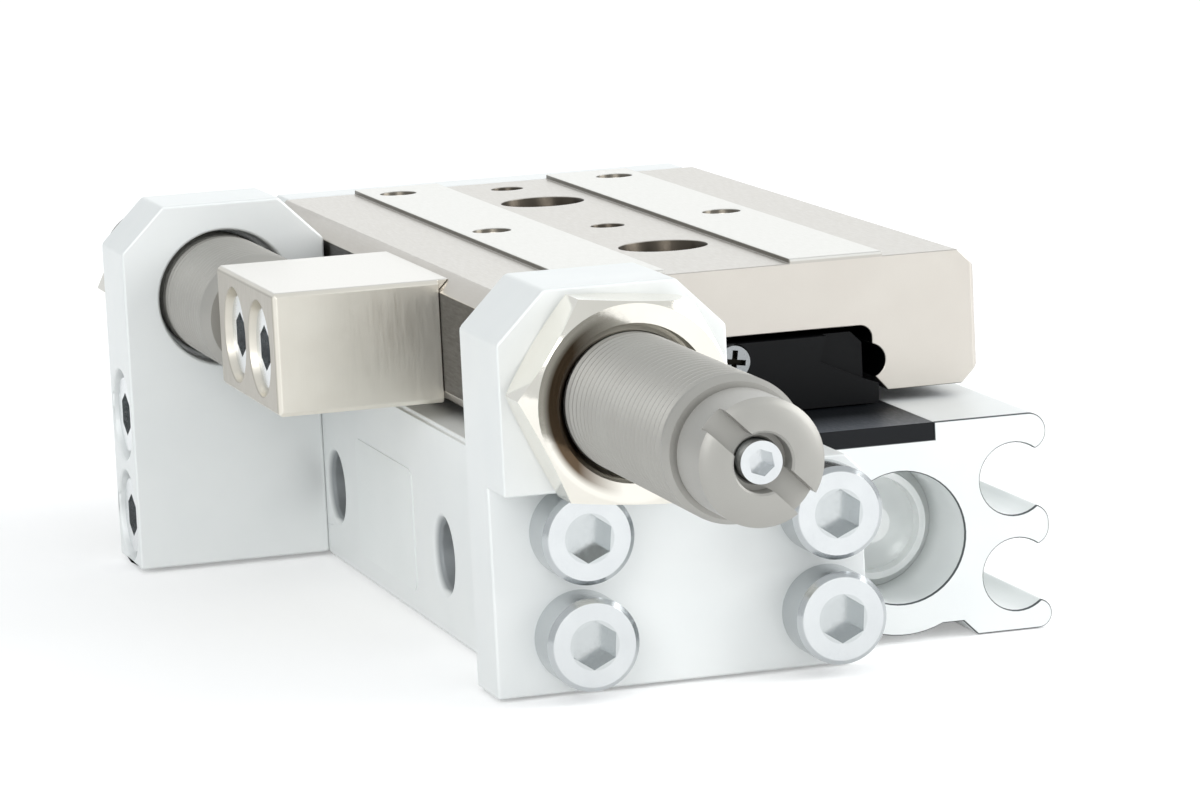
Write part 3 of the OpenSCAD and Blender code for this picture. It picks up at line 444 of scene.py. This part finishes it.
absorberTube("nearAbsorberTube", "near_absorber_body", True, math.radians(-45))
absorberTube("farAbsorberTube", "far_absorber_body", False, math.radians(45))
print("absorber tubes made")

# half side in metres, drop below the part in millimetres, grey of the card, lift of its look
floorPlan = {"half": 3.0, "drop": 0.05, "tone": 0.87, "lift": 0.24}


def whiteCard():
    # White card: it takes the soft shadow, and what the camera and gloss see of it is lifted.
    material = bpy.data.materials.new("whiteCard")
    material.use_nodes = True
    tree = material.node_tree
    tree.nodes.clear()
    tone = floorPlan["tone"]
    paths = addNode(tree, "ShaderNodeLightPath")
    seen = addNode(tree, "ShaderNodeMath", {"operation": "MAXIMUM"},
                   links={0: paths.outputs["Is Camera Ray"], 1: paths.outputs["Is Glossy Ray"]})
    lift = addNode(tree, "ShaderNodeMath", {"operation": "MULTIPLY"}, {1: floorPlan["lift"]},
                   {0: seen.outputs[0]})
    card = addNode(tree, "ShaderNodeBsdfDiffuse", values={"Color": (tone, tone, tone, 1)})
    glow = addNode(tree, "ShaderNodeEmission", values={"Color": (1, 1, 1, 1)},
                   links={"Strength": lift.outputs[0]})
    both = addNode(tree, "ShaderNodeAddShader", links={0: card.outputs[0], 1: glow.outputs[0]})
    addNode(tree, "ShaderNodeOutputMaterial", links={"Surface": both.outputs[0]})
    return material


half, drop = floorPlan["half"], -floorPlan["drop"] * mm
floorMesh = bpy.data.meshes.new("floor")
floorMesh.from_pydata([(-half, -half, drop), (half, -half, drop), (half, half, drop),
                       (-half, half, drop)], [], [(0, 1, 2, 3)])
floorMesh.materials.append(whiteCard())
floor = bpy.data.objects.new("floor", floorMesh)
scene.collection.objects.link(floor)

studio = {
    "sky": (0.78, 0.80, 0.81, 1),
    "lamps": {  # place, turn in degrees, side in metres, watts
        "right": ((0.75, -0.35, 0.35), (62, 0, 65), 0.6, 4.6),
        "left": ((-0.5, -0.76, 0.40), (62, 0, -32), 0.5, 2.8),
        "behind": ((0.25, 0.9, 0.35), (-70, 0, -15), 0.6, 0.6),
    },
}
world = bpy.data.worlds.new("studio")
scene.world = world
world.use_nodes = True
skyTree = world.node_tree
skyTree.nodes.clear()
paths = addNode(skyTree, "ShaderNodeLightPath")
seen = addNode(skyTree, "ShaderNodeMath", {"operation": "MAXIMUM"},
               links={0: paths.outputs["Is Camera Ray"], 1: paths.outputs["Is Transmission Ray"]})
sky = addNode(skyTree, "ShaderNodeMix", {"data_type": "RGBA"},
              {"A": studio["sky"], "B": (1, 1, 1, 1)}, {"Factor": seen.outputs[0]})
back = addNode(skyTree, "ShaderNodeBackground", values={"Strength": 1.0},
               links={"Color": sky.outputs["Result"]})
addNode(skyTree, "ShaderNodeOutputWorld", links={"Surface": back.outputs[0]})
for name, (place, turn, side, power) in studio["lamps"].items():
    lamp = bpy.data.lights.new(name, "AREA")
    lamp.shape = "SQUARE"
    lamp.size = side
    lamp.energy = power
    holder = bpy.data.objects.new(name, lamp)
    holder.location = place
    holder.rotation_euler = [math.radians(v) for v in turn]
    scene.collection.objects.link(holder)
print("stage lit")
